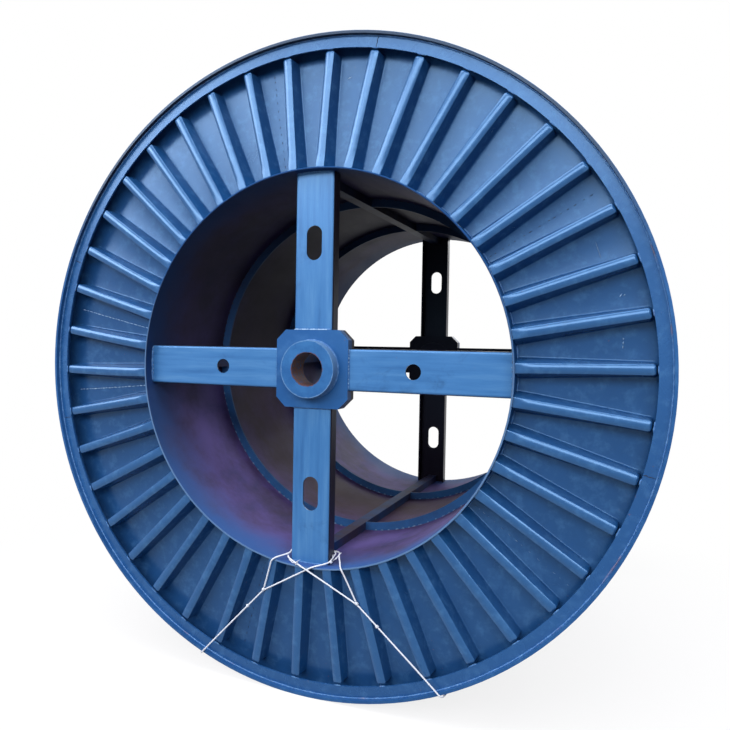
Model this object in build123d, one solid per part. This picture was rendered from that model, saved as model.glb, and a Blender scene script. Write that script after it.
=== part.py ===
from build123d import *

import os
from math import cos, radians, sin

# A welded steel cable drum, lying on its two rims with its axis level.
# It is worked out about a local Z axis, with +Z towards the front end and +Y up.
# stand() then turns it: the axis lies along Y, the front end faces -Y and +Z is up.
# Both ends are the same weldment: the back one is the front one turned half round the vertical.
# Only the front end has the twine.

# Overall sizes
drum_diameter = 2500.0  # over the rims
drum_width = 1970.0  # over the edges of the two rims
barrel_diameter = 1524.0  # outside of the barrel plate
seat_gap = 0.3  # left between round faces that are welded together

# Barrel plate and the stiffening inside it
barrel_plate = 6.0
barrel_setback = 12.0  # of the barrel's end behind the rim's edge
hoop_height = 36.0
hoop_thickness = 10.0
hoop_spacing = 720.0  # between the two hoops, centre to centre
tie_bar_width = 50.0
tie_bar_wall = 5.0

# Rim: a flat-bar hoop to roll on, with a flat ring inside its edge
rim_hoop_width = 100.0
rim_hoop_thickness = 10.0
rim_ring_width = 43.0
rim_ring_thickness = 8.0
rim_ring_setback = 20.0  # of the ring's face behind the rim's edge

# Flange sheets with their pressed ribs
sheet_thickness = 3.0
rib_count = 42  # all the way round
first_seam_angle = 31.43  # degrees, of the seam where the first panel starts, from level on the right
panel_ribs = (8, 8, 2, 8, 8, 8)  # ribs on each panel, going round
rib_setback = 17.0  # of the rib's top behind the rim's edge
rib_height = 65.0  # above the sheet
rib_top_width = 35.0
rib_lean_at_rim = 4.0  # how far each side spreads by its foot, at the outer end
rib_lean_at_barrel = 18.0  # the same at the inner end
rib_round = 8.0  # along the top edges
rib_end_round = 5.0  # round the outer end
rib_end_gap = 3.0  # between the rib's outer end and the ring

# Cross arms, folded channels with their webs facing outwards
arm_width = 160.0
arm_leg = 56.0
arm_plate = 7.0
arm_bend = 10.0  # outside radius of the folds
arm_setback = 54.0  # of the web's face behind the rim's edge
slot_width = 64.0
slot_length = 132.0
slot_radius = 483.0  # of the slot's middle from the axis
drive_hole_diameter = 58.0
drive_hole_radius = 400.0  # of the hole's middle from the axis

# Hub: an eight-sided block between the arms, with a thick tube through it
hub_block_size = 300.0
hub_block_chamfer = 38.0
hub_block_thickness = 62.0
hub_block_step = 8.0  # of the block's face in front of the arms
hub_block_border = 40.5  # of the block round the tube, at its flat sides
hub_bore_diameter = 128.0
hub_nose = 46.0  # how far the tube stands out of the block

# Twine: two cords noosed round the foot of the front bottom arm and hooked over the rim
twine_diameter = 6.0
twine_edge_bend = 6.0  # bend radius over the edges of the rim, barrel and arm
twine_knot_bend = 18.0  # bend radius at the knots that close the nooses
twine_rim_gap = 1.5  # between a cord and the rim
twine_tuck = 8.5  # of a cord's end, in behind the rim
left_rim_angles = (247.0, 248.85)  # degrees, where the left cord crosses the rim's two edges
right_rim_angles = (297.7, 295.5)
# Each point of a noose gives its place across, up, and behind the rim's edge
left_noose = (
    (-179.0, -875.0, 13.5),
    (34.0, -750.2, 7.9),
    (86.5, -740.0, 47.0),
    (85.0, -716.4, 115.0),
    (-85.0, -716.4, 115.0),
    (-87.0, -727.0, 50.0),
    (-137.0, -738.5, 7.9),
    (-174.0, -861.0, 12.5),
)
right_noose = (
    (215.5, -866.5, 13.5),
    (-12.0, -750.8, 0.7),
    (-93.0, -737.0, 43.0),
    (-92.0, -716.4, 122.5),
    (92.0, -716.4, 122.5),
    (150.5, -736.5, 7.9),
    (209.0, -854.0, 12.5),
)

# Places that follow from the sizes above
rim_edge = drum_width / 2
rim_radius = drum_diameter / 2
rim_inside = rim_radius - rim_hoop_thickness
ring_inside = rim_inside - rim_ring_width
ring_face = rim_edge - rim_ring_setback
barrel_end = rim_edge - barrel_setback
barrel_radius = barrel_diameter / 2
barrel_inside = barrel_radius - barrel_plate
rib_top = rim_edge - rib_setback
sheet_front = rib_top - rib_height
sheet_back = sheet_front - sheet_thickness
rib_pitch = 360.0 / rib_count
hoop_inside = barrel_inside - hoop_height
hoop_stations = (hoop_spacing / 2, -hoop_spacing / 2)
arm_face = rim_edge - arm_setback
block_face = arm_face + hub_block_step
block_back = block_face - hub_block_thickness
hub_radius = hub_block_size / 2 - hub_block_border


def ring(outer_radius, inner_radius, low, high):
    """A plain ring about the axis, between two stations along it."""
    return Pos(0, 0, low) * extrude(Circle(outer_radius) - Circle(inner_radius), high - low)


def stand(shape):
    """Lays the drum's axis along Y, with the front end towards -Y."""
    return Rot(90, 0, 0) * shape


def other_end(shape):
    """The same piece at the back end."""
    return Rot(0, 180, 0) * shape


def barrel_shell():
    """The rolled plate that the cable is wound on."""
    return ring(barrel_radius, barrel_inside, -barrel_end, barrel_end)


def tie_bar():
    """A channel along the bottom of the barrel, between the feet of the two bottom arms."""
    wall_side = barrel_inside - seat_gap
    length = 2 * (arm_face - arm_plate)
    outside = Pos(0, -(hoop_inside + barrel_radius) / 2) * Rectangle(
        tie_bar_width, barrel_radius - hoop_inside
    )
    inside = Pos(0, -(hoop_inside + tie_bar_wall + barrel_radius) / 2) * Rectangle(
        tie_bar_width - 2 * tie_bar_wall, barrel_radius - hoop_inside - tie_bar_wall
    )
    section = (outside - inside) & Circle(wall_side)
    return extrude(section, length / 2, both=True)


def inner_hoop(station):
    """A flat bar on edge round the inside of the barrel, in four lengths between the tie bars."""
    low = station - hoop_thickness / 2
    hoop = ring(barrel_inside - seat_gap, hoop_inside, low, low + hoop_thickness)
    gap = Box(tie_bar_width + 2 * seat_gap, 2 * barrel_radius, drum_width)
    return hoop - gap - Rot(0, 0, 90) * gap


def rim_hoop():
    """The hoop that the drum rolls on."""
    return ring(rim_radius, rim_inside, rim_edge - rim_hoop_width, rim_edge)


def rim_ring():
    """The flat ring that stands inside the hoop and covers the rib ends."""
    return ring(rim_inside - seat_gap, ring_inside, ring_face - rim_ring_thickness, ring_face)


def rib_section(station, skin, foot, lean):
    """Section of a rib across its length, drawn in by a skin from the outside of the sheet."""
    half_top = rib_top_width / 2 - skin
    top = rib_top - skin
    half_foot = half_top + lean * (top - foot) / rib_height
    section = Polygon(
        (-half_foot, 0), (half_foot, 0), (half_top, top - foot), (-half_top, top - foot), align=None
    )
    section = fillet(section.vertices().sort_by(Axis.Y)[-2:], rib_round - skin)
    return Plane(origin=(station, 0, foot), x_dir=(0, 1, 0), z_dir=(1, 0, 0)) * section


def rib_form(skin, foot):
    """A rib pointing right, as a solid that spreads towards the barrel."""
    inner_station = barrel_radius * cos(radians(rib_pitch / 2)) - rib_top_width
    outer_station = ring_inside - rib_end_gap - skin
    sections = [
        rib_section(inner_station, skin, foot, rib_lean_at_barrel),
        rib_section(outer_station, skin, foot, rib_lean_at_rim),
    ]
    return loft(sections, ruled=True)


def rounded_rib():
    """The outside of a rib, with the edges of its outer end rounded."""
    rib = rib_form(0, sheet_back)
    end_face = rib.faces().sort_by(Axis.X)[-1]
    end_edges = [edge for edge in end_face.edges() if edge.center().Z > sheet_front]
    return fillet(end_edges, rib_end_round)


def flange_panel(ribs):
    """One pressed sheet of the flange, from level on the right round to its last rib."""
    inner = barrel_radius + seat_gap
    outer = rim_inside - seat_gap
    strip = Pos((inner + outer) / 2, (sheet_back + sheet_front) / 2) * Rectangle(
        outer - inner, sheet_thickness
    )
    panel = revolve(Plane.XZ * strip, Axis.Z, revolution_arc=ribs * rib_pitch)
    rib = rounded_rib()
    hollow = rib_form(sheet_thickness, sheet_back - sheet_thickness)
    turns = [rib_pitch * (number + 0.5) for number in range(ribs)]
    panel = panel + [Rot(0, 0, turn) * rib for turn in turns]
    panel = panel - [Rot(0, 0, turn) * hollow for turn in turns]
    return panel - Cylinder(inner, 2 * drum_width)


def arm_blank():
    """One arm pointing up, from the side of the hub block to the barrel wall."""
    low = hub_block_size / 2
    middle = arm_face - arm_leg / 2
    outside = Pos(0, middle) * Rectangle(arm_width, arm_leg)
    outside = fillet(outside.vertices().sort_by(Axis.Y)[-2:], arm_bend)
    inside = Pos(0, middle - arm_plate) * Rectangle(arm_width - 2 * arm_plate, arm_leg)
    inside = fillet(inside.vertices().sort_by(Axis.Y)[-2:], arm_bend - arm_plate)
    section = Plane(origin=(0, low, 0), x_dir=(1, 0, 0), z_dir=(0, -1, 0)) * (outside - inside)
    return extrude(section, low - barrel_radius) & Cylinder(barrel_inside - seat_gap, 2 * drum_width)


def slotted_arm():
    """An upright arm, with an oblong lashing slot through its web."""
    slot = Pos(0, slot_radius, arm_face) * extrude(
        SlotOverall(slot_length, slot_width, rotation=90), 2 * arm_plate, both=True
    )
    return arm_blank() - slot


def drilled_arm():
    """A level arm, before it is turned, with a round driving hole through its web."""
    hole = Pos(0, drive_hole_radius, arm_face) * Cylinder(drive_hole_diameter / 2, 4 * arm_plate)
    return arm_blank() - hole


def hub_block():
    """The eight-sided block that the arms butt against."""
    outline = chamfer(Rectangle(hub_block_size, hub_block_size).vertices(), hub_block_chamfer)
    section = outline - Circle(hub_radius + seat_gap)
    return Pos(0, 0, block_back) * extrude(section, hub_block_thickness)


def hub_tube():
    """The thick tube that takes the shaft."""
    return ring(hub_radius, hub_bore_diameter / 2, block_back, block_face + hub_nose)


def rim_crossing(angle, radius, depth):
    """A point of a cord near the rim, by its angle, distance from the axis and depth behind the edge."""
    return radius * cos(radians(angle)), radius * sin(radians(angle)), depth


def twine(rim_angles, noose):
    """A plain round cord in straight runs: tucked in behind the rim, over it, and on into its noose."""
    back_angle, front_angle = rim_angles
    stand_off = twine_rim_gap + twine_diameter / 2
    over_rim = rim_radius + stand_off
    behind_rim = rim_hoop_width + stand_off
    hook = (
        rim_crossing(back_angle, over_rim - twine_tuck, behind_rim),
        rim_crossing(back_angle, over_rim, behind_rim),
        rim_crossing(front_angle, over_rim, -stand_off),
    )
    points = [Vector(across, up, rim_edge - depth) for across, up, depth in hook + noose]
    bends = [twine_edge_bend] * (len(points) - 2)
    bends[len(hook) - 1] = twine_knot_bend
    path = FilletPolyline(points, radius=bends)
    section = Plane(origin=path @ 0, z_dir=path % 0) * Circle(twine_diameter / 2)
    cord = sweep(section, path=path)
    straight = path.length * section.area
    print(f"cord {path.length:.0f} mm, bends {bends}, volume {cord.volume / straight:.4f} of section times length")
    return cord


def end_pieces():
    """Every piece of one end, by name, as at the front end."""
    pieces = {"rim_hoop": rim_hoop(), "rim_ring": rim_ring()}
    panels = {ribs: flange_panel(ribs) for ribs in set(panel_ribs)}
    seam = first_seam_angle
    for number, ribs in enumerate(panel_ribs, 1):
        pieces[f"flange_panel_{number}"] = Rot(0, 0, seam) * panels[ribs]
        seam += ribs * rib_pitch
    upright = slotted_arm()
    level = drilled_arm()
    pieces["arm_top"] = upright
    pieces["arm_bottom"] = Rot(0, 0, 180) * upright
    pieces["arm_left"] = Rot(0, 0, 90) * level
    pieces["arm_right"] = Rot(0, 0, -90) * level
    pieces["hub_block"] = hub_block()
    pieces["hub_tube"] = hub_tube()
    return pieces


nodes = {"barrel_shell": barrel_shell()}
for number, station in enumerate(hoop_stations, 1):
    nodes[f"inner_hoop_{number}"] = inner_hoop(station)
bottom_bar = tie_bar()
for place, turn in (("bottom", 0), ("right", 90), ("top", 180), ("left", 270)):
    nodes[f"tie_bar_{place}"] = Rot(0, 0, turn) * bottom_bar
for name, piece in end_pieces().items():
    nodes[f"front_{name}"] = piece
    nodes[f"back_{name}"] = other_end(piece)
nodes["twine_left"] = twine(left_rim_angles, left_noose)
nodes["twine_right"] = twine(right_rim_angles, right_noose)

os.makedirs("parts", exist_ok=True)
for name, piece in nodes.items():
    export_step(stand(piece), f"parts/{name}.step")
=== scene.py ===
import random
from math import atan2, cos, hypot, pi, radians, sin, sqrt, tan

import bpy
from mathutils import Matrix, Vector, noise


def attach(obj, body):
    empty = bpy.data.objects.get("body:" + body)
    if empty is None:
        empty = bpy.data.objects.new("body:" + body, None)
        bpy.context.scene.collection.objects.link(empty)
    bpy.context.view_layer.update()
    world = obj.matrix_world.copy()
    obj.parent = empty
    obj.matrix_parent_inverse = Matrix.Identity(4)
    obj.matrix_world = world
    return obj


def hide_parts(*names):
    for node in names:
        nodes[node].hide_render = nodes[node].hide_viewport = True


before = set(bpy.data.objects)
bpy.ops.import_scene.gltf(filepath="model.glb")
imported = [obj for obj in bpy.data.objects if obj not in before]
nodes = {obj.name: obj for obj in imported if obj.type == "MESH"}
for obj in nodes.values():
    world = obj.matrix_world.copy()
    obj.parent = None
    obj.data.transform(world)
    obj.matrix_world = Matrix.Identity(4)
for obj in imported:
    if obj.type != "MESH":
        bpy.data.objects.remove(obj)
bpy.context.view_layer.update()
dice = random.Random(7)
ends = ("front", "back")

# The drum's sizes that the dressing follows, in metres. A depth is a distance behind the rim's edge.
rim_edge = 0.985  # from the drum's middle
rim_radius = 1.250
rim_inside = 1.240
ring_inside = 1.197
ring_depth = 0.020
barrel_radius = 0.762
barrel_inside = 0.756
barrel_depth = 0.012
hoop_face = 0.365  # of an inner hoop's outward face, from the drum's middle
hoop_thickness = 0.010
arm_half_width = 0.080
arm_depth = 0.054
block_depth = 0.046
block_half = 0.150
tube_radius = 0.1095
bore_radius = 0.064

# Flange sheets and the ribs that are pressed out of them
rib_depth = 0.017
rib_height = 0.065
sheet_depth = rib_depth + rib_height
sheet_thickness = 0.003
sheet_gap = 0.0005  # to the barrel and to the rim's hoop
sheet_inner = barrel_radius + sheet_gap
sheet_outer = rim_inside - sheet_gap
rib_count = 42
rib_turn = 360 / rib_count  # degrees from one rib to the next
rib_pitch = radians(rib_turn)
rib_phase = 1.43  # degrees
first_panel_rib = 4
panel_ribs = (8, 8, 2, 8, 8, 8)
# Degrees by which each sheet sits crooked, at the barrel and at the rim
panel_turns = ((0.35, -0.40), (0.15, -0.35), (1.30, 0.25), (1.10, 0.85), (0.80, 1.00), (0.50, 0.15))
seam_reach = radians(1.6)  # from a seam to where a sheet has its own turn
rib_top_width = 0.035
rib_wobble = 0.0012  # most that a rib's side bows in or out
rib_lean_at_rim = 0.005
rib_lean_at_barrel = 0.018
rib_end = ring_inside - 0.003
rib_corner = 0.009  # in plan, at the outer end
rib_side_end = rib_end - rib_lean_at_rim - rib_corner
rib_edge_round = 0.004
rib_foot_round = 0.007
foot_reach = 0.02  # past the foot, to a point on the flat sheet
crest_inset = 0.010  # from the top's edge in to a point on the crest
crest_fall = 0.18  # share of the crown by which the crest is lower at that point
rib_crown = 0.0045
flat_crown = 0.06  # share of the crown that is left where the rib meets the barrel
crown_run = 0.15  # share of the rib's length over which the crown rises
# Shares of a rib's long side and of half its crest at which there are points
rib_sides = (0.0, 0.025, 0.05, 0.08, 0.115, 0.16, 0.25, 0.36, 0.48, 0.60, 0.72, 0.83, 0.93, 1.0)
crown_steps = (0.0, 0.35, 0.62, 0.84)
corner_steps = 4  # round a rib's outer corner
end_steps = 2  # from that corner to the rib's middle
wave_height = 0.0016
wave_scale = 2.3
wave_layers = {"front": 1.7, "back": 8.1}
# Dents in the front ribs: place across and up, depth and size
dents = ((1.024, 0.344, 0.006, 0.011), (-0.905, 0.545, 0.003, 0.016), (0.512, -0.884, 0.003, 0.018))
dent_from = 0.03  # height above the sheet
dent_falloff = 2.7
crisp_angle = radians(50)

# Welds that run right round the axis, and the short ones on the ribs, the hub block and the arms
hoop_weld = dict(radius=rim_inside - 0.0015, depth=ring_depth - 0.001, size=0.0032, ripple=0.30, step=0.011)
barrel_weld = dict(
    radius=barrel_radius + 0.002, depth=sheet_depth - 0.001, size=0.0035, ripple=0.30, step=0.010
)
tube_weld = dict(radius=tube_radius + 0.001, depth=block_depth - 0.0005, size=0.0035, ripple=0.25, step=0.006)
tack_place = dict(radius=ring_inside - 0.0005, depth=ring_depth + 0.002, step=0.006)
tack_bead = dict(size=0.0028, ripple=0.30)
tack_reach = (0.55, 0.85)  # degrees to either side of a rib's middle, least and most
block_weld_out = block_half + 0.001
block_weld_across = arm_half_width * 0.97
block_weld_place = dict(depth=arm_depth - 0.001, step=0.006)
block_weld_bead = dict(size=0.0035, ripple=0.25)
foot_weld_place = dict(radius=barrel_inside - 0.002, depth=arm_depth + 0.001, step=0.008)
foot_weld_bead = dict(size=0.0040, ripple=0.35)
foot_weld_reach = 5.6  # degrees to either side of an arm's middle
tapered_end = 0.4  # share of a bead's thickness at its two ends

# Seams between the sheets, joints across the rings, and stitch welds of the inner hoops
seam_start = barrel_radius + 0.015
seam_finish = ring_inside - 0.02
seam_depth = sheet_depth - 0.0005
seam_points = 4
seam_jitter = 0.0006  # radians
pale_dashes = dict(dash=0.014, gap=0.004, size=0.0016)
fine_dashes = dict(dash=0.008, gap=0.020, size=0.0010)
joint_angles = (78.0, 158.6, 192.0, 345.6)
joint_start = ring_inside + 0.001
joint_length = rim_inside - ring_inside - 0.004
joint_depth = ring_depth - 0.0002
joint_points = 9
joint_jitter = 0.0016  # radians
joint_bead = dict(size=0.0011, ripple=0.4)
dash_ripple = 0.35
hoop_stitch_length = (0.5, 1.2)  # degrees, least and most
hoop_stitch_gap = (0.8, 2.4)
hoop_stitch_radius = barrel_inside - 0.002
hoop_stitch_bead = dict(size=0.0030, ripple=dash_ripple)
hoop_stitch_step = 0.006
tie_bar_reach = 4.0  # degrees to either side of a tie bar that stay clear
stitch_lift = 0.001  # of the stitches' middle off the hoop's face

# Worn weld edges on the front frame, where the arms meet the hub block and the barrel
edge_depth = arm_depth - 0.0035
edge_out = block_half + 0.0015
foot_edge_out = 0.747
foot_edge_across = 0.074
foot_edge_depth = arm_depth - 0.0005
edge_step = 0.003

# Scuffs on the front sheets: where each begins and ends, across and up
scuff_ends = (
    ((1.077, 0.265), (1.084, 0.276)),
    ((1.089, 0.268), (1.093, 0.274)),
    ((1.091, 0.098), (1.091, 0.106)),
    ((1.091, 0.112), (1.092, 0.120)),
    ((1.092, 0.126), (1.092, 0.133)),
    ((0.115, 1.096), (0.133, 1.104)),
)
scratch_ends = ((1.000, 0.446), (1.018, 0.392))
scuff_place = dict(depth=sheet_depth - 0.0006, step=0.004)
scuff_bead = dict(size=0.0016, ripple=0.4)
scratch_bead = dict(size=0.0010, ripple=0.5)

# Twine. Each point of a cord gives its place across, up, and behind the rim's edge. The points beside an
# edge or a knot, 6 diameters from it, keep the run beyond them straight.
twine_diameter = 0.006
twine_routes = {
    "twine_left": (
        1.331,
        (
            (-0.4868, -1.1469, 0.1050), (-0.4908, -1.1561, 0.1060), (-0.4775, -1.1601, 0.0685),
            (-0.4649, -1.1652, 0.0315), (-0.4548, -1.1756, -0.0060), (-0.4281, -1.1436, -0.0020),
            (-0.2035, -0.9014, 0.0119), (-0.1790, -0.8750, 0.0135), (-0.1479, -0.8568, 0.0127),
            (0.0029, -0.7684, 0.0080), (0.0340, -0.7495, 0.0050), (0.0865, -0.7400, 0.0470),
            (0.0870, -0.7282, 0.0800), (0.0900, -0.7150, 0.1195), (0.0490, -0.7164, 0.1165),
            (-0.0490, -0.7164, 0.1165), (-0.0900, -0.7150, 0.1195), (-0.0870, -0.7215, 0.0820),
            (-0.0870, -0.7270, 0.0500), (-0.1370, -0.7385, 0.0015), (-0.1474, -0.7730, 0.0080),
            (-0.1740, -0.8610, 0.0125),
        ),
    ),
    "twine_right": (
        1.413,
        (
            (0.5792, -1.1032, 0.1050), (0.5838, -1.1121, 0.1060), (0.5688, -1.1182, 0.0685),
            (0.5545, -1.1253, 0.0315), (0.5427, -1.1377, -0.0060), (0.5122, -1.1095, -0.0020),
            (0.2434, -0.8893, 0.0120), (0.2155, -0.8665, 0.0135), (0.1834, -0.8502, 0.0117),
            (0.0201, -0.7671, 0.0010), (-0.0120, -0.7500, -0.0032), (-0.0440, -0.7455, 0.0160),
            (-0.0930, -0.7370, 0.0430), (-0.0935, -0.7267, 0.0830), (-0.0975, -0.7150, 0.1275),
            (-0.0560, -0.7164, 0.1240), (0.0560, -0.7164, 0.1240), (0.0975, -0.7150, 0.1275),
            (0.1082, -0.7220, 0.0908), (0.1343, -0.7309, 0.0397), (0.1505, -0.7365, 0.0005),
            (0.1665, -0.7687, 0.0085), (0.2090, -0.8540, 0.0125),
        ),
    ),
}
knot_places = {
    "twine_left": (
        (-0.4868, -1.1469, 0.1088), (-0.2450, -0.9462, 0.0092),
        (-0.1770, -0.8710, 0.0132), (0.0905, -0.7365, 0.0560),
    ),
    "twine_right": (
        (0.5792, -1.1032, 0.1088), (0.2960, -0.9324, 0.0090),
        (0.2130, -0.8625, 0.0132), (-0.0330, -0.7478, 0.0095),
    ),
}
frayed_ends = {
    "twine_left": (
        ((0.0905, -0.7360, 0.0540), (0.0975, -0.7230, 0.0500), (0.1050, -0.7050, 0.0450)),
        ((0.0910, -0.7360, 0.0540), (0.1130, -0.7180, 0.0470), (0.1370, -0.6890, 0.0420)),
    ),
    "twine_right": (
        ((-0.0340, -0.7470, 0.0050), (-0.0480, -0.7400, -0.0010), (-0.0600, -0.7330, 0.0010)),
        ((-0.0330, -0.7470, 0.0050), (-0.0280, -0.7370, -0.0020), (-0.0190, -0.7300, 0.0020)),
    ),
}
straight_run = (5, 7)  # points between which both cords run straight, on their way in from the rim
knot_coil = 0.0044
knot_end_share = 0.75  # of the coil, at the knot's two ends
knot_swell = 0.35  # share of the coil by which the knot's middle is thicker
knot_strand = 0.0022
knot_ripple = 0.10
knot_pitch = 1.8  # turns lie this many strand radii apart
knot_turn_steps = 14
fibre_count = 4
fibre_radius = 0.0009
fibre_ripple = 0.25
fibre_drift = 0.0012  # at the knot
fibre_spread = 0.0022  # more than that at the tip

# Floor, lamps and the photograph's camera
floor_half = 40.0
floor_gap = 0.0005
floor_fade = (1.0, 2.6)  # distances over which the floor turns white
floor_glow = 0.82
lamp_aim = 0.9  # distance from the drum's middle of the point that a lamp faces
ambient_strength = 0.16
camera_place = (1.1146, -3.3926, 0.1039)
camera_yaw = 24.29
camera_pitch = -1.535
camera_roll = 0.897
camera_lens = 34.664
camera_sensor = 36.0
camera_shift = (0.0708, -0.0059)

# Paint colours, linear
deep_blue = (0.003, 0.024, 0.085)
sheet_blue = (0.009, 0.047, 0.142)
sheet_light_blue = (0.012, 0.058, 0.166)
rib_blue = (0.006, 0.050, 0.155)
rib_light_blue = (0.010, 0.062, 0.180)
mid_blue = (0.012, 0.066, 0.195)
light_blue = (0.017, 0.080, 0.225)
arm_blue = (0.030, 0.120, 0.290)
arm_light_blue = (0.036, 0.134, 0.318)
hub_blue = (0.009, 0.062, 0.200)
rim_blue = (0.009, 0.054, 0.168)
overspray_blue = (0.015, 0.085, 0.250)
blotch_blue = (0.035, 0.060, 0.170)
tie_bar_blue = (0.016, 0.050, 0.150)
tie_bar_brown = (0.045, 0.036, 0.062)
inner_hoop_blue = (0.024, 0.088, 0.225)
inner_hoop_dark_blue = (0.022, 0.058, 0.150)
weld_blue = (0.030, 0.110, 0.290)
weld_pale_blue = (0.085, 0.200, 0.380)
pale_blue = (0.070, 0.190, 0.370)
scuff_blue = (0.42, 0.55, 0.70)
# Painted highlight for the barrel's end edges
brink_highlight = (0.18, 0.30, 0.44)
# Painted highlight round the hub tube's end
tube_edge_highlight = (0.22, 0.36, 0.52)
# Painted shade, near black: deep faces of the arms and hub, the hub tube's inner end and the top of the rim's
# hoop
painted_shade_dark = (0.010, 0.007, 0.012)
rust = (0.165, 0.068, 0.026)
dark_rust = (0.055, 0.024, 0.014)
bore_rust = (0.120, 0.044, 0.026)
primer = (0.140, 0.102, 0.340)
dark_primer = (0.062, 0.046, 0.110)
# Painted shade for the upper parts inside the barrel
painted_upper_shade = (0.010, 0.009, 0.015)
twine_grey = (0.50, 0.54, 0.60)
twine_white = (0.68, 0.71, 0.76)
twine_dirt = (0.42, 0.47, 0.54)
plain_gloss = (1.0, 1.0, 1.0, 1.0)
blue_gloss = (0.38, 0.66, 1.0, 1.0)
# Depths from which the arms and the hub get near-black painted shade, and over which that painted shade fades
# in
arm_shade_depth = 0.0565
block_shade_depth = 0.080
shade_fade = 0.002


# Shader nodes

class NodeTree:
    """The nodes of a material or a world, with short calls that add to them."""

    # A Mix node's sockets for colours come after those for its other kinds of value
    mix_share, mix_first, mix_second, mix_result = 0, 6, 7, 2

    def __init__(self, owner):
        owner.use_nodes = True
        self.tree = owner.node_tree
        self.tree.nodes.clear()

    def feed(self, socket, value):
        """Links another socket to this one, or sets this one's own value."""
        if isinstance(value, bpy.types.NodeSocket):
            self.tree.links.new(value, socket)
        else:
            socket.default_value = value

    def add(self, kind, **sockets):
        """A node of one kind, with its sockets named."""
        made = self.tree.nodes.new(kind)
        for name, value in sockets.items():
            self.feed(made.inputs[name], value)
        return made

    def math(self, operation, first, second=0.0):
        made = self.tree.nodes.new("ShaderNodeMath")
        made.operation = operation
        self.feed(made.inputs[0], first)
        self.feed(made.inputs[1], second)
        return made.outputs[0]

    def times(self, first, second):
        return self.math("MULTIPLY", first, second)

    def raised(self, base, value, share):
        """A base with a share of another value added."""
        return self.math("ADD", base, self.times(value, share))

    def distance(self, first, second):
        """The distance from the middle that two places at right angles make."""
        return self.math("SQRT", self.math("ADD", self.times(first, first), self.times(second, second)))

    def mix(self, share, first, second):
        """A colour between two others. A plain colour is given without its alpha."""
        made = self.tree.nodes.new("ShaderNodeMix")
        made.data_type = "RGBA"
        self.feed(made.inputs[self.mix_share], share)
        for number, colour in ((self.mix_first, first), (self.mix_second, second)):
            self.feed(made.inputs[number], (*colour, 1.0) if isinstance(colour, tuple) else colour)
        return made.outputs[self.mix_result]

    def mix_shaders(self, share, first, second):
        made = self.tree.nodes.new("ShaderNodeMixShader")
        for socket, value in zip(made.inputs, (share, first.outputs[0], second.outputs[0])):
            self.feed(socket, value)
        return made

    def spread(self, value, low, high):
        """Stretches the part of a value between two limits to the range from 0 to 1, with soft ends."""
        made = self.tree.nodes.new("ShaderNodeMapRange")
        made.interpolation_type = "SMOOTHSTEP"
        for socket, setting in zip(made.inputs, (value, low, high)):
            self.feed(socket, setting)
        return made.outputs[0]

    def is_seen(self):
        """1 for what the camera sees, straight, mirrored or through glass, and 0 for light on the drum."""
        path = self.tree.nodes.new("ShaderNodeLightPath")
        seen = self.math("MAXIMUM", path.outputs["Is Camera Ray"], path.outputs["Is Glossy Ray"])
        return self.math("MAXIMUM", seen, path.outputs["Is Transmission Ray"])


class Paint(NodeTree):
    """A material whose colours lie over each other, from the first one up.

    They follow the place on the drum: x, y and z, the distance from the axis, and the depth behind the
    nearer rim's edge.
    """

    def __init__(self, name):
        self.material = bpy.data.materials.new(name)
        super().__init__(self.material)
        self.place = self.tree.nodes.new("ShaderNodeTexCoord").outputs["Object"]
        self.x, self.y, self.z = self.add("ShaderNodeSeparateXYZ", Vector=self.place).outputs
        self.radius = self.distance(self.x, self.z)
        self.end_depth = self.math("SUBTRACT", rim_edge, self.math("ABSOLUTE", self.y))
        self.colour = None

    def noise(self, scale, detail, roughness, stretch=None, distortion=0.0):
        vector = self.place
        if stretch is not None:
            vector = self.add("ShaderNodeMapping", Vector=vector, Scale=stretch).outputs[0]
        made = self.add("ShaderNodeTexNoise", Vector=vector, Scale=scale, Detail=detail, Roughness=roughness,
                        Distortion=distortion)
        return made.outputs[0]

    def start(self, share, first, second):
        """The lowest colour, between two shades."""
        self.colour = self.mix(share, first, second)

    def cover(self, colour, mask, share=1.0):
        """Lays a colour over those below, where the mask is 1 and as strongly as the share."""
        self.colour = self.mix(self.times(mask, share), self.colour, colour)

    def finish(self, roughness, height, distance, strength=0.6, specular=0.5, gloss_tint=plain_gloss):
        """Makes the surface of these colours, with small bumps, and gives the material."""
        bump = self.add("ShaderNodeBump", Strength=strength, Distance=distance, Height=height)
        shader = self.add("ShaderNodeBsdfPrincipled", Roughness=roughness, Normal=bump.outputs[0])
        self.feed(shader.inputs["Base Color"], self.colour)
        shader.inputs["Specular IOR Level"].default_value = specular
        shader.inputs["Specular Tint"].default_value = gloss_tint
        self.add("ShaderNodeOutputMaterial", Surface=shader.outputs[0])
        return self.material


# Paints

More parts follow.
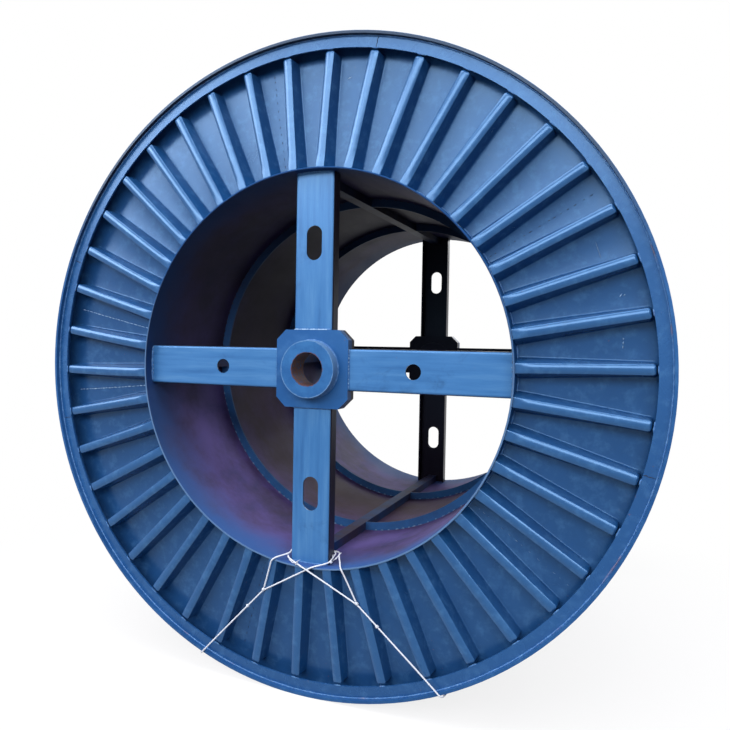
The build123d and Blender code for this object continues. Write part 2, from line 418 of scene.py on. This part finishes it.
def worn_paint(name, base, light, streak=(1.0, 1.0, 1.0), rust_share=0.5, specular=0.45, gloss=0.24,
               streak_share=0.25, shade_from=None, shaded_hoop_top=False):
    """Brushed and sprayed blue paint with clouds, streaks, scuffs and a few rust specks.

    Faces deeper than the given depth behind the rim's edge get near-black painted shade, and on request
    so do the front and inner faces of the rim's hoop, in its upper part, as painted shade.
    """
    paint = Paint(name)
    clouds = paint.noise(scale=2.2, detail=5.0, roughness=0.6)
    paint.start(paint.spread(clouds, 0.30, 0.72), base, light)
    streaks = paint.noise(scale=26.0, detail=5.0, roughness=0.62, stretch=streak)
    paint.cover(pale_blue, paint.spread(streaks, 0.45, 0.75), streak_share)
    paint.cover(mid_blue, paint.spread(streaks, 0.50, 0.25), streak_share)
    dull = paint.noise(scale=9.0, detail=6.0, roughness=0.7, distortion=0.6)
    paint.cover(deep_blue, paint.spread(dull, 0.55, 0.80), 0.45)
    specks = paint.noise(scale=70.0, detail=3.0, roughness=0.6)
    patches = paint.noise(scale=3.1, detail=2.0, roughness=0.5)
    rusty = paint.times(paint.spread(specks, 0.69, 0.75), paint.spread(patches, 0.52, 0.66))
    paint.cover(rust, rusty, rust_share)
    scuffs = paint.noise(scale=34.0, detail=4.0, roughness=0.7, stretch=(1.0, 1.0, 3.5), distortion=1.4)
    paint.cover(scuff_blue, paint.spread(scuffs, 0.73, 0.78), 0.14)
    # Painted shade, near black, on faces deep in the arms and the hub
    if shade_from is not None:
        paint.cover(painted_shade_dark, paint.spread(paint.end_depth, shade_from, shade_from + shade_fade))
    # Painted shade on the hoop's front and inner faces in its upper part
    if shaded_hoop_top:
        shallow = paint.spread(paint.end_depth, ring_depth + shade_fade, ring_depth)
        within = paint.spread(paint.radius, rim_radius - 0.0003, rim_radius - 0.0020)
        high = paint.spread(paint.z, 0.25, 0.85)
        paint.cover(painted_shade_dark, paint.times(paint.times(shallow, within), high))
    orange_peel = paint.noise(scale=160.0, detail=3.0, roughness=0.5)
    return paint.finish(
        roughness=paint.raised(gloss, dull, 0.14),
        height=paint.raised(streaks, orange_peel, 0.25),
        distance=0.0012,
        strength=0.18,
        specular=specular,
        gloss_tint=blue_gloss,
    )


def barrel_material(name):
    """Blue outside and round the ends, with mauve primer and brown dirt further in, painted shade high
    inside, and a painted highlight low along the ends' edges.
    """
    paint = Paint(name)
    clouds = paint.noise(scale=2.6, detail=6.0, roughness=0.65)
    blotches = paint.noise(scale=7.5, detail=6.0, roughness=0.7, stretch=(1.0, 0.35, 1.0))
    paint.start(paint.spread(clouds, 0.3, 0.7), primer, dark_primer)
    paint.cover(blotch_blue, paint.spread(blotches, 0.5, 0.78), 0.5)
    drift = paint.raised(paint.end_depth, paint.math("SUBTRACT", clouds, 0.5), 0.5)
    paint.cover(dark_rust, paint.spread(drift, 0.35, 0.95), 0.75)
    # Painted shade: near black towards the top inside the barrel
    high = paint.spread(paint.raised(paint.z, clouds, 0.3), -0.55, 0.30)
    paint.cover(painted_upper_shade, high, 0.8)
    # Blue overspray near the ends; its darker blue higher up is painted shade
    overspray = paint.math("SUBTRACT", 1.0, paint.spread(drift, 0.0, 0.30))
    paint.cover(paint.mix(high, overspray_blue, deep_blue), overspray, 0.85)
    outside = paint.mix(paint.spread(clouds, 0.2, 0.8), rim_blue, mid_blue)
    paint.cover(outside, paint.spread(paint.radius, barrel_inside + 0.001, barrel_radius - 0.001))
    # Painted highlight along the ends' edges, stronger low down
    brink = paint.spread(paint.end_depth, barrel_depth + 0.0025, barrel_depth + 0.0005)
    low = paint.math("SUBTRACT", 1.0, paint.spread(paint.z, -0.2, 0.5))
    paint.cover(brink_highlight, paint.times(brink, low), 0.4)
    roughness = paint.raised(0.45, blotches, 0.25)
    return paint.finish(roughness, blotches, distance=0.001, specular=0.10, gloss_tint=blue_gloss)


def stiffener_material(name, first, second):
    """Hoops and tie bars in the barrel: two shades in patches, near black higher up with painted shade."""
    paint = Paint(name)
    clouds = paint.noise(scale=5.0, detail=6.0, roughness=0.65)
    paint.start(paint.spread(clouds, 0.35, 0.65), first, second)
    # Painted shade: near black towards the top
    paint.cover(painted_upper_shade, paint.spread(paint.z, -0.1, 0.4), 0.7)
    roughness = paint.raised(0.45, clouds, 0.2)
    return paint.finish(roughness, clouds, distance=0.001, specular=0.10, gloss_tint=blue_gloss)


def hub_tube_material(name):
    """Blue outside, with a painted highlight round the end's edge, rusty in the bore, and painted shade at
    its inner end.
    """
    paint = Paint(name)
    clouds = paint.noise(scale=14.0, detail=6.0, roughness=0.65)
    grit = paint.noise(scale=90.0, detail=5.0, roughness=0.7)
    blue = paint.mix(paint.spread(clouds, 0.3, 0.7), light_blue, arm_blue)
    rusty = paint.mix(paint.spread(grit, 0.35, 0.65), bore_rust, dark_rust)
    edge = paint.raised(paint.radius, paint.math("SUBTRACT", grit, 0.5), 0.012)
    paint.start(paint.spread(edge, bore_radius - 0.001, bore_radius + 0.004), rusty, blue)
    # Painted highlight in a band round the end's outer edge
    from_edge = paint.math("ABSOLUTE", paint.math("SUBTRACT", edge, tube_radius))
    paint.cover(tube_edge_highlight, paint.spread(from_edge, 0.004, 0.0015), 0.35)
    # Painted shade at the tube's inner end, past the bore
    deep = paint.spread(paint.end_depth, block_shade_depth, block_shade_depth + shade_fade)
    beyond_bore = paint.spread(paint.radius, bore_radius + 0.001, bore_radius + 0.003)
    paint.cover(painted_shade_dark, paint.times(deep, beyond_bore))
    roughness = paint.raised(0.42, grit, 0.3)
    return paint.finish(roughness, grit, distance=0.0012, specular=0.20, gloss_tint=blue_gloss)


def weld_material(name):
    """Painted weld metal: rippled, a little paler on top, rusty in places."""
    paint = Paint(name)
    ripple = paint.noise(scale=120.0, detail=3.0, roughness=0.6)
    patches = paint.noise(scale=6.0, detail=4.0, roughness=0.6)
    paint.start(paint.spread(ripple, 0.4, 0.7), weld_blue, weld_pale_blue)
    paint.cover(rust, paint.spread(patches, 0.60, 0.72), 0.6)
    return paint.finish(paint.raised(0.4, patches, 0.25), ripple, distance=0.002, specular=0.3)


def line_material(name, first, second):
    """A thin worn line, in two shades."""
    paint = Paint(name)
    grain = paint.noise(scale=60.0, detail=4.0, roughness=0.6)
    paint.start(paint.spread(grain, 0.35, 0.65), first, second)
    return paint.finish(paint.raised(0.45, grain, 0.2), grain, distance=0.001, specular=0.2)


def twine_material(name):
    """White twisted twine, a little grey in its folds."""
    paint = Paint(name)
    fibres = paint.noise(scale=900.0, detail=3.0, roughness=0.6)
    dirt = paint.noise(scale=18.0, detail=4.0, roughness=0.6)
    paint.start(paint.spread(fibres, 0.3, 0.7), twine_grey, twine_white)
    paint.cover(twine_dirt, paint.spread(dirt, 0.55, 0.75), 0.4)
    return paint.finish(paint.raised(0.6, fibres, 0.2), fibres, distance=0.0006)


flange_paint = worn_paint("flange_paint", sheet_blue, sheet_light_blue, specular=0.56, gloss=0.18)
rib_paint = worn_paint("rib_paint", rib_blue, rib_light_blue, specular=1.0, gloss=0.14)
rim_paint = worn_paint("rim_paint", rim_blue, mid_blue, rust_share=0.8, specular=0.69, gloss=0.20)
hoop_paint = worn_paint("hoop_paint", rim_blue, light_blue, rust_share=0.8, shaded_hoop_top=True)
arm_streaks = {"level": (0.12, 1.0, 1.6), "upright": (1.6, 1.0, 0.12)}
arm_paints = {}
hub_paint = {}
for end, specular in (("front", 0.69), ("back", 0.15)):
    for run, streak in arm_streaks.items():
        arm_paints[end, run] = worn_paint(
            f"{end}_{run}_arm_paint", arm_blue, arm_light_blue, streak=streak, specular=specular,
            streak_share=0.6, shade_from=arm_shade_depth,
        )
    hub_paint[end] = worn_paint(
        f"{end}_hub_paint", hub_blue, light_blue, streak=(0.4, 1.0, 0.4), specular=specular * 0.65,
        shade_from=block_shade_depth,
    )
barrel_paint = barrel_material("barrel_paint")
tie_bar_paint = stiffener_material("tie_bar_paint", tie_bar_blue, tie_bar_brown)
inner_hoop_paint = stiffener_material("inner_hoop_paint", inner_hoop_blue, inner_hoop_dark_blue)
tube_paint = hub_tube_material("tube_paint")
weld_paint = weld_material("weld_paint")
pale_line = line_material("pale_line", (0.20, 0.34, 0.52), (0.40, 0.54, 0.68))
faint_line = line_material("faint_line", (0.05, 0.11, 0.22), (0.15, 0.24, 0.36))
dark_line = line_material("dark_line", (0.006, 0.008, 0.020), (0.020, 0.022, 0.040))
seam_paints = (dark_line, pale_line, pale_line, dark_line, faint_line, dark_line)
twine_paint = twine_material("twine")


# Materials on the modelled pieces

def dress(node, material):
    piece = nodes[node]
    piece.data.materials.clear()
    piece.data.materials.append(material)


dress("barrel_shell", barrel_paint)
for number in (1, 2):
    dress(f"inner_hoop_{number}", inner_hoop_paint)
for place in ("bottom", "right", "top", "left"):
    dress(f"tie_bar_{place}", tie_bar_paint)
for end in ends:
    dress(f"{end}_rim_hoop", hoop_paint)
    dress(f"{end}_rim_ring", rim_paint)
    for name in ("arm_top", "arm_bottom"):
        dress(f"{end}_{name}", arm_paints[end, "upright"])
    for name in ("arm_left", "arm_right"):
        dress(f"{end}_{name}", arm_paints[end, "level"])
    dress(f"{end}_hub_block", hub_paint[end])
    dress(f"{end}_hub_tube", tube_paint)


# Mesh helpers

def end_point(end, across, up, depth):
    """A point at one end: across, up, and behind the rim's edge. The back end is turned half round."""
    side = 1.0 if end == "front" else -1.0
    return Vector((side * across, side * (depth - rim_edge), up))


def round_point(end, radius, angle, depth):
    """A point at one end by its distance from the axis and its angle in radians."""
    return end_point(end, radius * cos(angle), radius * sin(angle), depth)


def make_piece(name, points, faces, material, slot):
    mesh = bpy.data.meshes.new(name)
    mesh.from_pydata([tuple(point) for point in points], [], faces)
    mesh.validate()
    mesh.materials.append(material)
    for polygon in mesh.polygons:
        polygon.use_smooth = True
    piece = bpy.data.objects.new(name, mesh)
    bpy.context.scene.collection.objects.link(piece)
    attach(piece, "root")
    return piece


# Flange sheets with pressed ribs

def soft_step(value, low, high):
    share = min(1.0, max(0.0, (value - low) / (high - low)))
    return share * share * (3 - 2 * share)


def corner_arc(before, corner, after, radius, count):
    """Points of a soft corner in a flat profile, from one side of it to the other."""
    corner = Vector(corner)
    first = (Vector(before) - corner).normalized()
    second = (Vector(after) - corner).normalized()
    reach = radius * tan((pi - first.angle(second)) / 2)
    start = corner + first * reach
    finish = corner + second * reach
    shares = [step / count for step in range(count + 1)]
    return [start * (1 - t) ** 2 + corner * (2 * t * (1 - t)) + finish * t ** 2 for t in shares]


def rib_side_profile(lean, crown):
    """The edge, wall and foot of a rib: distance past the top's edge, and height above the sheet."""
    inside = (-crest_inset, rib_height - crown * crest_fall)
    edge = (0.0, rib_height - crown)
    foot = (lean, 0.0)
    flat = (lean + foot_reach, 0.0)
    rounded_edge = corner_arc(inside, edge, foot, rib_edge_round, count=3)
    return rounded_edge + corner_arc(edge, foot, flat, rib_foot_round, count=4)


def rib_rows(wobble):
    """Half of a rib's outline in plan: the long side from the barrel out, then half of the rounded end."""
    half = rib_top_width / 2
    rows = []
    for share in rib_sides:
        lean = rib_lean_at_barrel + (rib_lean_at_rim - rib_lean_at_barrel) * share
        crown = rib_crown * (flat_crown + (1 - flat_crown) * soft_step(share, 0.0, crown_run))
        across = half + wobble * sin(share * pi)
        rows.append({"share": share, "across": across, "out": (0.0, 1.0), "lean": lean, "crown": crown})
    for step in range(1, corner_steps + end_steps + 1):
        angle = min(1.0, step / corner_steps) * pi / 2
        along = rib_side_end + rib_corner * sin(angle)
        inward = min(1.0, (corner_steps + end_steps - step) / end_steps)
        across = (half - rib_corner) * inward + rib_corner * cos(angle)
        rows.append({"share": None, "along": along, "across": across, "out": (sin(angle), cos(angle)),
                     "lean": rib_lean_at_rim, "crown": rib_crown})
    return rows


def rib_spot(row, past):
    """Where a row is at a distance past the top's edge: along the rib, and across it."""
    across = row["across"] + row["out"][1] * past
    if row["share"] is None:
        return row["along"] + row["out"][0] * past, across
    start = sqrt(sheet_inner ** 2 - across ** 2)
    return start + row["share"] * (rib_side_end - start), across


def rib_row_points(row):
    """A row from the rib's middle over its edge to its foot: along, across, and above the sheet."""
    share = row["share"]
    profile = rib_side_profile(row["lean"], row["crown"])
    edge, edge_height = profile[0]
    brink, brink_across = rib_spot(row, edge)
    spine = rib_side_end if share is None else sheet_inner + share * (rib_side_end - sheet_inner)
    points = []
    for step in crown_steps:
        height = rib_height + (edge_height - rib_height) * step ** 2
        points.append((spine + (brink - spine) * step, brink_across * step, height))
    for past, height in profile:
        points.append((*rib_spot(row, past), height))
    return points


def border_spot(step, count):
    """The end of a row, halfway to the next rib or at the sheet's outer edge: along and across."""
    half_pitch = rib_pitch / 2
    last_side = len(rib_sides) - 1
    if step <= last_side:
        start = sheet_inner * cos(half_pitch)
        along = start + rib_sides[step] * (rib_side_end - start)
        return along, along * tan(half_pitch)
    share = (step - last_side) / (count - 1 - last_side)
    if share <= 0.5:
        along = rib_side_end + share * 2 * (sheet_outer * cos(half_pitch) - rib_side_end)
        return along, along * tan(half_pitch)
    angle = half_pitch * (2 - share * 2)
    return sheet_outer * cos(angle), sheet_outer * sin(angle)


def sheet_turn(number, radius):
    """How far a sheet sits from its even place, in radians. The sheets are numbered from 0."""
    at_barrel, at_rim = panel_turns[number % len(panel_turns)]
    share = (radius - barrel_radius) / (ring_inside - barrel_radius)
    return radians(at_barrel + (at_rim - at_barrel) * share)


def crooked(number, angle, radius, start, finish):
    """The turn of one point of a sheet; at its two seams the sheet meets its neighbours halfway."""
    own = sheet_turn(number, radius)
    before = (own + sheet_turn(number - 1, radius)) / 2
    after = (own + sheet_turn(number + 1, radius)) / 2
    own += (before - own) * (1 - soft_step(angle - start, 0.0, seam_reach))
    return own + (after - own) * (1 - soft_step(finish - angle, 0.0, seam_reach))


def sheet_wave(end, x, z, height):
    """How far a point of a sheet stands out of its even place, with the dents in the front ribs."""
    wave = noise.noise(Vector((x * wave_scale, z * wave_scale, wave_layers[end]))) * wave_height
    if end == "front" and height > dent_from:
        for dent_x, dent_z, depth, size in dents:
            wave -= depth * dent_falloff ** (-((x - dent_x) ** 2 + (z - dent_z) ** 2) / size ** 2)
    return wave


def strip_faces(columns, hand):
    """Faces between rows of points, without the corners that fall together."""
    faces = []
    for first, second in zip(columns, columns[1:]):
        for k in range(len(first) - 1):
            quad = [first[k], second[k], second[k + 1], first[k + 1]]
            quad = [corner for place, corner in enumerate(quad) if corner != quad[place - 1]]
            if len(set(quad)) < 3:
                continue
            if hand == -1:
                quad.reverse()
            faces.append(quad)
    return faces


def panel_mesh(end, panel, first_rib, ribs):
    """The front skin of one flange sheet, with its ribs drawn out of it."""
    start_angle = radians(rib_phase) + (first_rib - 0.5) * rib_pitch
    finish_angle = start_angle + ribs * rib_pitch
    points = []
    index = {}
    faces = []

    def vertex(centre, along, across, height):
        radius = hypot(along, across)
        angle = centre + atan2(across, along)
        angle += crooked(panel, angle, radius, start_angle, finish_angle)
        x, z = radius * cos(angle), radius * sin(angle)
        key = (round(x, 5), round(z, 5), round(height, 5))
        if key not in index:
            index[key] = len(points)
            points.append(end_point(end, x, z, sheet_depth - height - sheet_wave(end, x, z, height)))
        return index[key]

    for number in range(ribs):
        centre = radians(rib_phase) + (first_rib + number) * rib_pitch
        rows = [rib_row_points(row) for row in rib_rows(dice.uniform(-rib_wobble, rib_wobble))]
        for hand in (-1, 1):
            columns = []
            for row in rows:
                columns.append([vertex(centre, along, hand * across, up) for along, across, up in row])
            for step, column in enumerate(columns):
                along, across = border_spot(step, len(columns))
                column.append(vertex(centre, along, hand * across, 0.0))
            faces += strip_faces(columns, hand)
    return points, faces


for end in ends:
    first_rib = first_panel_rib
    for number, ribs in enumerate(panel_ribs, 1):
        points, faces = panel_mesh(end, number - 1, first_rib, ribs)
        piece = make_piece(f"{end}_pressed_sheet_{number}", points, faces, flange_paint, "flange_paint")
        skin = piece.modifiers.new("sheet", "SOLIDIFY")
        skin.thickness = sheet_thickness
        skin.offset = -1.0
        piece.modifiers.new("crisp borders", "EDGE_SPLIT").split_angle = crisp_angle
        piece.data.materials.append(rib_paint)
        for polygon in piece.data.polygons:
            polygon.material_index = int(rim_edge - abs(polygon.center.y) < rib_depth + rib_height / 2)
        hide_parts(f"{end}_flange_panel_{number}")
        first_rib += ribs


# Welds

def bead(points, size, ripple, closed=False):
    """A weld bead along a line: a thin tube whose thickness ripples. Returns its points and faces."""
    sides = 6
    corners = []
    faces = []
    count = len(points)
    for k, point in enumerate(points):
        before = points[k - 1] if closed or k else points[0]
        after = points[(k + 1) % count] if closed or k < count - 1 else points[-1]
        ahead = (after - before).normalized()
        across = ahead.cross(Vector((0.0, 1.0, 0.0)))
        if across.length < 0.1:
            across = ahead.cross(Vector((1.0, 0.0, 0.0)))
        across.normalize()
        up = across.cross(ahead)
        radius = size * (1 + ripple * dice.uniform(-1, 1))
        if not closed and k in (0, count - 1):
            radius *= tapered_end
        for side in range(sides):
            angle = 2 * pi * side / sides
            corners.append(point + across * (radius * cos(angle)) + up * (radius * sin(angle)))
    spans = count if closed else count - 1
    for k in range(spans):
        ring = k * sides
        ahead_ring = (k + 1) % count * sides
        for side in range(sides):
            following = (side + 1) % sides
            faces.append((ring + side, ahead_ring + side, ahead_ring + following, ring + following))
    if not closed:
        faces.append(tuple(range(sides)))
        faces.append(tuple(range(len(corners) - 1, len(corners) - sides - 1, -1)))
    return corners, faces


def gather(parts):
    """Joins several point and face lists into one."""
    points = []
    faces = []
    for part_points, part_faces in parts:
        base = len(points)
        points += part_points
        faces += [tuple(base + corner for corner in face) for face in part_faces]
    return points, faces


def arc(end, start, finish, radius, depth, step):
    """Points on a circle about the axis at one end; angles in degrees, step in metres."""
    count = max(3, int(radius * radians(abs(finish - start)) / step))
    angles = [radians(start + (finish - start) * k / count) for k in range(count + 1)]
    return [round_point(end, radius, angle, depth) for angle in angles]


def straight(end, start, finish, depth, step):
    """Points on a straight line across one end."""
    start = Vector(start)
    finish = Vector(finish)
    count = max(2, int((finish - start).length / step))
    spots = [start.lerp(finish, k / count) for k in range(count + 1)]
    return [end_point(end, spot.x, spot.y, depth) for spot in spots]


def ring_bead(end, radius, depth, size, ripple, step):
    """A closed bead right round the axis."""
    return bead(arc(end, 0, 360, radius, depth, step)[:-1], size, ripple, closed=True)


def turned(point, quarter):
    """A flat point turned by quarter turns about the axis."""
    x, z = point
    for _ in range(quarter):
        x, z = -z, x
    return x, z


for end in ends:
    make_piece(f"{end}_hoop_weld", *ring_bead(end, **hoop_weld), weld_paint, "flange_paint")
    make_piece(f"{end}_barrel_weld", *ring_bead(end, **barrel_weld), weld_paint, "flange_paint")
    tacks = []
    rib = first_panel_rib
    for panel, ribs in enumerate(panel_ribs):
        for number in range(ribs):
            middle = rib_phase + (rib + number) * rib_turn + panel_turns[panel][1]
            reach = dice.uniform(*tack_reach)
            tacks.append(bead(arc(end, middle - reach, middle + reach, **tack_place), **tack_bead))
        rib += ribs
    make_piece(f"{end}_rib_tacks", *gather(tacks), weld_paint, "flange_paint")
    frame_beads = [ring_bead(end, **tube_weld)]
    for quarter in range(4):
        block_edge = [turned((side * block_weld_across, block_weld_out), quarter) for side in (-1, 1)]
        frame_beads.append(bead(straight(end, *block_edge, **block_weld_place), **block_weld_bead))
        middle = 90 * quarter
        foot = arc(end, middle - foot_weld_reach, middle + foot_weld_reach, **foot_weld_place)
        frame_beads.append(bead(foot, **foot_weld_bead))
    make_piece(f"{end}_frame_welds", *gather(frame_beads), weld_paint, "frame_paint")


# Seams between the sheets, joints across the rings, and stitch welds of the inner hoops

def seam_dashes(end, panel, angle, dash, gap, size):
    """Short beads along a seam, from the barrel out to the ring."""
    dashes = []
    radius = seam_start
    while radius < seam_finish:
        length = dash * dice.uniform(0.6, 1.4)
        spots = []
        for step in range(seam_points):
            out = radius + length * step / (seam_points - 1)
            crook = (sheet_turn(panel, out) + sheet_turn(panel + 1, out)) / 2
            turn = angle + crook + dice.uniform(-seam_jitter, seam_jitter)
            spots.append(round_point(end, out, turn, seam_depth))
        dashes.append(bead(spots, size, dash_ripple))
        radius += length + gap * dice.uniform(0.5, 1.5)
    return gather(dashes)


for end in ends:
    rib = first_panel_rib
    for panel, ribs in enumerate(panel_ribs):
        rib += ribs
        angle = radians(rib_phase) + (rib - 0.5) * rib_pitch
        paint = seam_paints[panel]
        dashes = seam_dashes(end, panel, angle, **(pale_dashes if paint is pale_line else fine_dashes))
        make_piece(f"{end}_seam_{panel + 1}", *dashes, paint, "flange_paint")
    joints = []
    for angle in joint_angles:
        across = []
        for step in range(joint_points):
            out = joint_start + joint_length * step / (joint_points - 1)
            turn = radians(angle) + dice.uniform(-joint_jitter, joint_jitter)
            across.append(round_point(end, out, turn, joint_depth))
        joints.append(bead(across, **joint_bead))
    make_piece(f"{end}_ring_joints", *gather(joints), dark_line, "flange_paint")


def hoop_stitches(end, depth, start, finish):
    """Short welds along one face of an inner hoop, clear of the tie bars."""
    stitches = []
    angle = start
    while angle < finish:
        length = dice.uniform(*hoop_stitch_length)
        middle = angle + length / 2
        if all(abs(middle - quarter) > tie_bar_reach for quarter in range(-180, 361, 90)):
            spots = arc(end, angle, angle + length, hoop_stitch_radius, depth, hoop_stitch_step)
            stitches.append(bead(spots, **hoop_stitch_bead))
        angle += length + dice.uniform(*hoop_stitch_gap)
    return gather(stitches)


for end in ends:
    outward = rim_edge - hoop_face - stitch_lift
    inward = rim_edge + hoop_face - hoop_thickness - stitch_lift
    for place, depth in (("near", outward), ("far", inward)):
        # The upper half's stitches are near black as painted shade, like the painted shade above them in the
        # barrel
        for half, start, material in (("low", -180, faint_line), ("high", 0, dark_line)):
            stitches = hoop_stitches(end, depth, start, start + 180)
            make_piece(f"{end}_{place}_hoop_stitches_{half}", *stitches, material, "barrel_paint")


def stitches_along(start, finish, depth, dash, gap, size):
    """Short dashes along a straight line at the front end."""
    start = Vector(start)
    finish = Vector(finish)
    length = (finish - start).length
    dashes = []
    done = 0.0
    while done < length:
        reach = min(length, done + dash * dice.uniform(0.5, 1.5))
        dash_ends = (start.lerp(finish, done / length), start.lerp(finish, reach / length))
        dashes.append(bead(straight("front", *dash_ends, depth, edge_step), size, dash_ripple))
        done = reach + gap * dice.uniform(0.5, 1.5)
    return dashes


top_edge = ((-0.078, edge_out), (0.062, edge_out))
right_edge = ((edge_out, 0.078), (edge_out, -0.070))
left_edge = ((-edge_out, 0.070), (-edge_out, -0.070))
bottom_edge = ((-0.070, -edge_out), (0.050, -edge_out))
bare_edges = stitches_along(*top_edge, edge_depth, dash=0.030, gap=0.002, size=0.0022)
bare_edges += stitches_along(*right_edge, edge_depth, dash=0.006, gap=0.007, size=0.0018)
make_piece("front_bare_weld_edges", *gather(bare_edges), pale_line, "frame_paint")
worn_edges = stitches_along(*left_edge, edge_depth, dash=0.008, gap=0.010, size=0.0014)
worn_edges += stitches_along(*bottom_edge, edge_depth, dash=0.010, gap=0.014, size=0.0014)
for side in (-1, 1):
    foot_edge = [(side * foot_edge_out, up) for up in (foot_edge_across, -foot_edge_across)]
    worn_edges += stitches_along(*foot_edge, foot_edge_depth, dash=0.006, gap=0.012, size=0.0016)
make_piece("front_worn_weld_edges", *gather(worn_edges), faint_line, "frame_paint")

scuffs = [bead(straight("front", *scuff, **scuff_place), **scuff_bead) for scuff in scuff_ends]
make_piece("front_sheet_scuffs", *gather(scuffs), pale_line, "flange_paint")
scratch = bead(straight("front", *scratch_ends, **scuff_place), **scratch_bead)
make_piece("front_sheet_scratch", *scratch, faint_line, "flange_paint")


# Twine

def knot(name, place, ahead, turns):
    """A few tight turns of twine round a cord."""
    ahead = Vector(ahead).normalized()
    across = ahead.cross(Vector((0.0, 1.0, 0.0))).normalized()
    up = across.cross(ahead)
    steps = knot_turn_steps * turns
    spots = []
    for step in range(steps + 1):
        angle = 2 * pi * step / knot_turn_steps
        along = (step / steps - 0.5) * turns * knot_strand * knot_pitch
        swell = knot_coil * (knot_end_share + knot_swell * sin(pi * step / steps))
        middle = Vector(place) + ahead * along
        spots.append(middle + across * (swell * cos(angle)) + up * (swell * sin(angle)))
    return make_piece(name, *bead(spots, knot_strand, knot_ripple), twine_paint, "twine")


def frayed_end(name, spots):
    """A short loose end of a few fibres that spread apart."""
    fibres = []
    for number in range(fibre_count):
        fibre = []
        for step, spot in enumerate(spots):
            loose = fibre_drift + fibre_spread * step / (len(spots) - 1)
            drift = Vector([dice.uniform(-loose, loose) for axis in range(3)])
            fibre.append(end_point("front", *spot) + drift)
        fibres.append(bead(fibre, fibre_radius, fibre_ripple))
    return make_piece(name, *gather(fibres), twine_paint, "twine")


for node, (length, route) in twine_routes.items():
    data = bpy.data.curves.new(node, "CURVE")
    data.dimensions = "3D"
    data.bevel_depth = twine_diameter / 2
    data.bevel_resolution = 3
    data.use_fill_caps = True
    data.materials.append(twine_paint)
    spline = data.splines.new("NURBS")
    spline.points.add(len(route) - 1)
    for point, spot in zip(spline.points, route):
        point.co = (*end_point("front", *spot), 1.0)
    spline.order_u = 3
    spline.use_endpoint_u = True
    spline.resolution_u = 8
    piece = bpy.data.objects.new(f"{node}_cord", data)
    bpy.context.scene.collection.objects.link(piece)
    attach(piece, "root")
    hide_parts(node)
    run_start, run_finish = [end_point("front", *route[number]) for number in straight_run]
    for number, place in enumerate(knot_places[node], 1):
        spot = end_point("front", *place)
        knot(f"{node}_knot_{number}", spot, run_finish - run_start, turns=2 + number % 2)
    for number, spots in enumerate(frayed_ends[node], 1):
        frayed_end(f"{node}_frayed_end_{number}", spots)


# Surroundings, floor, lamps and camera

world = bpy.data.worlds.new("studio")
bpy.context.scene.world = world
sky = NodeTree(world)
ambient = sky.add("ShaderNodeBackground", Color=(0.78, 0.87, 1.0, 1.0), Strength=ambient_strength)
white = sky.add("ShaderNodeBackground", Color=(1.0, 1.0, 1.0, 1.0), Strength=1.0)
surroundings = sky.mix_shaders(sky.is_seen(), ambient, white)
sky.add("ShaderNodeOutputWorld", Surface=surroundings.outputs[0])


def floor_material():
    """A pale floor that fades to white away from the drum; light that it sends back up is kept low."""
    paint = Paint("floor")
    away = paint.spread(paint.distance(paint.x, paint.y), *floor_fade)
    shaded = paint.add("ShaderNodeBsdfDiffuse", Color=(0.92, 0.92, 0.92, 1.0))
    bright = paint.add("ShaderNodeEmission", Color=(1.0, 1.0, 1.0, 1.0), Strength=1.0)
    dim = paint.add("ShaderNodeBsdfDiffuse", Color=(0.20, 0.20, 0.20, 1.0))
    seen = paint.mix_shaders(paint.raised(floor_glow, away, 1.0 - floor_glow), shaded, bright)
    surface = paint.mix_shaders(paint.is_seen(), dim, seen)
    paint.add("ShaderNodeOutputMaterial", Surface=surface.outputs[0])
    return paint.material


floor_mesh = bpy.data.meshes.new("floor")
floor_corners = ((-1, -1), (1, -1), (1, 1), (-1, 1))
floor_level = -rim_radius - floor_gap
floor_points = [(x * floor_half, y * floor_half, floor_level) for x, y in floor_corners]
floor_mesh.from_pydata(floor_points, [], [(0, 1, 2, 3)])
floor_mesh.materials.append(floor_material())
floor = bpy.data.objects.new("floor", floor_mesh)
bpy.context.scene.collection.objects.link(floor)


def area_light(name, place, width, height, radiance, colour):
    """A flat lamp that faces the nearer end; the radiance is the same over all of it."""
    data = bpy.data.lights.new(name, "AREA")
    data.shape = "RECTANGLE"
    data.size = width
    data.size_y = height
    data.energy = radiance * pi * width * height
    data.color = colour
    lamp = bpy.data.objects.new(name, data)
    lamp.location = place
    facing = Vector((0.0, -lamp_aim if place[1] < 0 else lamp_aim, 0.0)) - Vector(place)
    lamp.rotation_euler = facing.to_track_quat("-Z", "Y").to_euler()
    lamp.visible_camera = False
    bpy.context.scene.collection.objects.link(lamp)


area_light("sky", (0.5, -7.0, 3.1), width=11.0, height=2.5, radiance=6.8, colour=(0.97, 0.95, 1.0))
area_light("side sky", (-5.0, -5.4, 3.25), width=3.0, height=3.0, radiance=8.5, colour=(0.97, 0.95, 1.0))
area_light("overhead", (0.2, -2.8, 5.6), width=8.0, height=4.0, radiance=5.0, colour=(0.97, 0.96, 1.0))
area_light("back sky", (1.5, 7.0, 3.5), width=6.0, height=4.0, radiance=3.2, colour=(0.97, 0.97, 1.0))

camera_data = bpy.data.cameras.new("camera")
camera_data.sensor_width = camera_sensor
camera_data.lens = camera_lens
camera_data.shift_x, camera_data.shift_y = camera_shift
camera = bpy.data.objects.new("camera", camera_data)
turn = Matrix.Rotation(radians(camera_yaw), 4, "Z") @ Matrix.Rotation(radians(90 + camera_pitch), 4, "X")
camera.matrix_world = Matrix.Translation(camera_place) @ turn @ Matrix.Rotation(radians(camera_roll), 4, "Z")
bpy.context.scene.collection.objects.link(camera)
bpy.context.scene.camera = camera
bpy.context.scene.view_settings.view_transform = "Standard"
